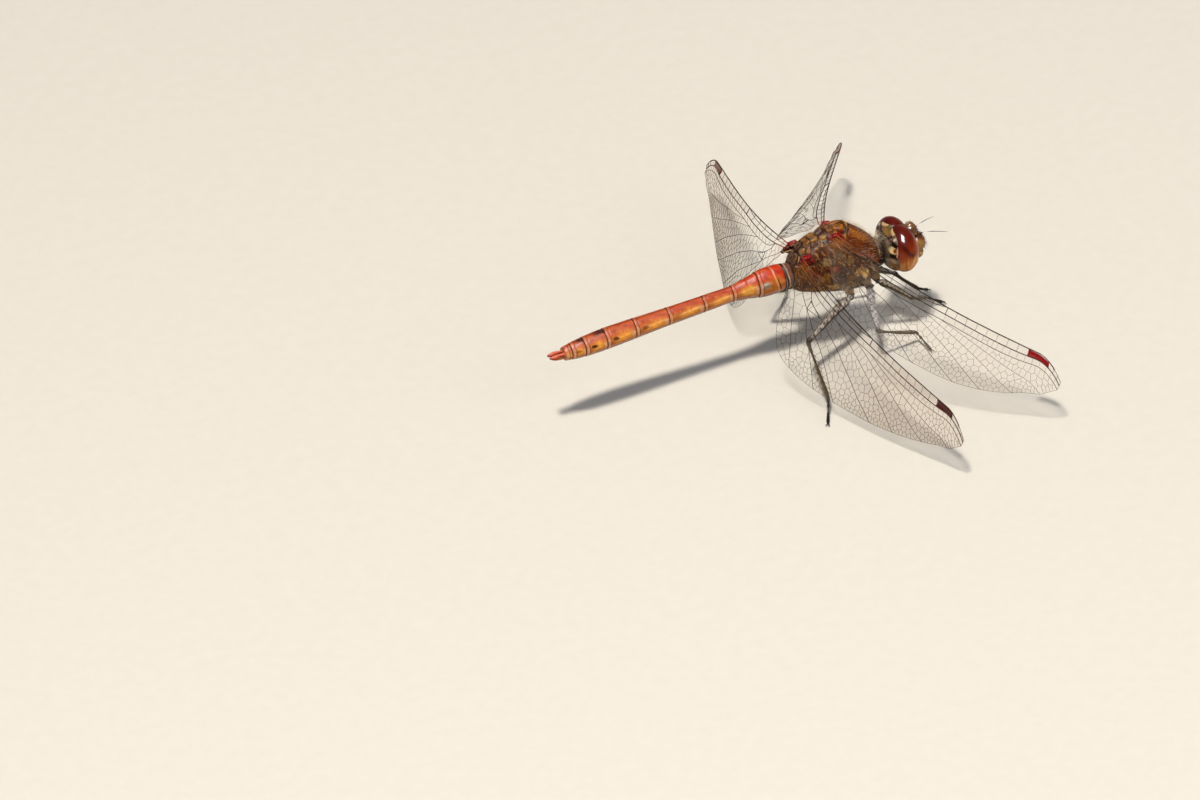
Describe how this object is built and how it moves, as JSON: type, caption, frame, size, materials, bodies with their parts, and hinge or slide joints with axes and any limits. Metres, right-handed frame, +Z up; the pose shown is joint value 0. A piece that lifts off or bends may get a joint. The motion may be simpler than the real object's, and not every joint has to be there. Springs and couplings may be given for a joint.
{
  "type": "common darter dragonfly model",
  "caption": "Life-size dragonfly standing on six legs, body level, both wing pairs held forward and drooped, slender abdomen out behind.",
  "frame": {"origin": "on the floor under the middle of the bounding box", "axes": "+X forward, towards the head; +Y to the animal's left, along the wing span; +Z up, away from the floor"},
  "size_m": [0.0438, 0.0588, 0.0132],
  "materials": {
    "eye": "glossy compound eye, dark red-brown above, orange-brown below",
    "face": "satin orange-brown cuticle with paler edges",
    "head": "satin brown, pale yellow and grey cuticle with black spots",
    "antenna": "matt blackish",
    "thorax": "satin amber-brown cuticle under fine pale hair",
    "abdomen": "satin red-orange cuticle with dark side marks",
    "leg": "satin brown-black with a pale stripe",
    "wing": "clear glossy membrane with blackish veins"
  },
  "bodies": {
    "root": {"abdomen_01": "abdomen", "abdomen_02": "abdomen", "abdomen_03": "abdomen", "abdomen_04": "abdomen", "abdomen_05": "abdomen", "abdomen_06": "abdomen", "abdomen_07": "abdomen", "abdomen_08": "abdomen", "abdomen_09": "abdomen", "abdomen_10": "abdomen", "antenna_left": "antenna", "antenna_right": "antenna", "cercus_left": "abdomen", "cercus_right": "abdomen", "clypeus": "face", "epiproct": "abdomen", "eye_left": "eye", "eye_right": "eye", "frons": "face", "head": "head", "leg_fore_left_coxa": "leg", "leg_fore_left_femur": "leg", "leg_fore_left_tarsus": "leg", "leg_fore_left_tibia": "leg", "leg_fore_right_coxa": "leg", "leg_fore_right_femur": "leg", "leg_fore_right_tarsus": "leg", "leg_fore_right_tibia": "leg", "leg_hind_left_coxa": "leg", "leg_hind_left_femur": "leg", "leg_hind_left_tarsus": "leg", "leg_hind_left_tibia": "leg", "leg_hind_right_coxa": "leg", "leg_hind_right_femur": "leg", "leg_hind_right_tarsus": "leg", "leg_hind_right_tibia": "leg", "leg_mid_left_coxa": "leg", "leg_mid_left_femur": "leg", "leg_mid_left_tarsus": "leg", "leg_mid_left_tibia": "leg", "leg_mid_right_coxa": "leg", "leg_mid_right_femur": "leg", "leg_mid_right_tarsus": "leg", "leg_mid_right_tibia": "leg", "mouthparts": "face", "prothorax": "thorax", "thorax": "thorax", "vertex": "face", "wing_fore_left": "wing", "wing_fore_right": "wing", "wing_hind_left": "wing", "wing_hind_right": "wing"}
  },
  "joints": []
}
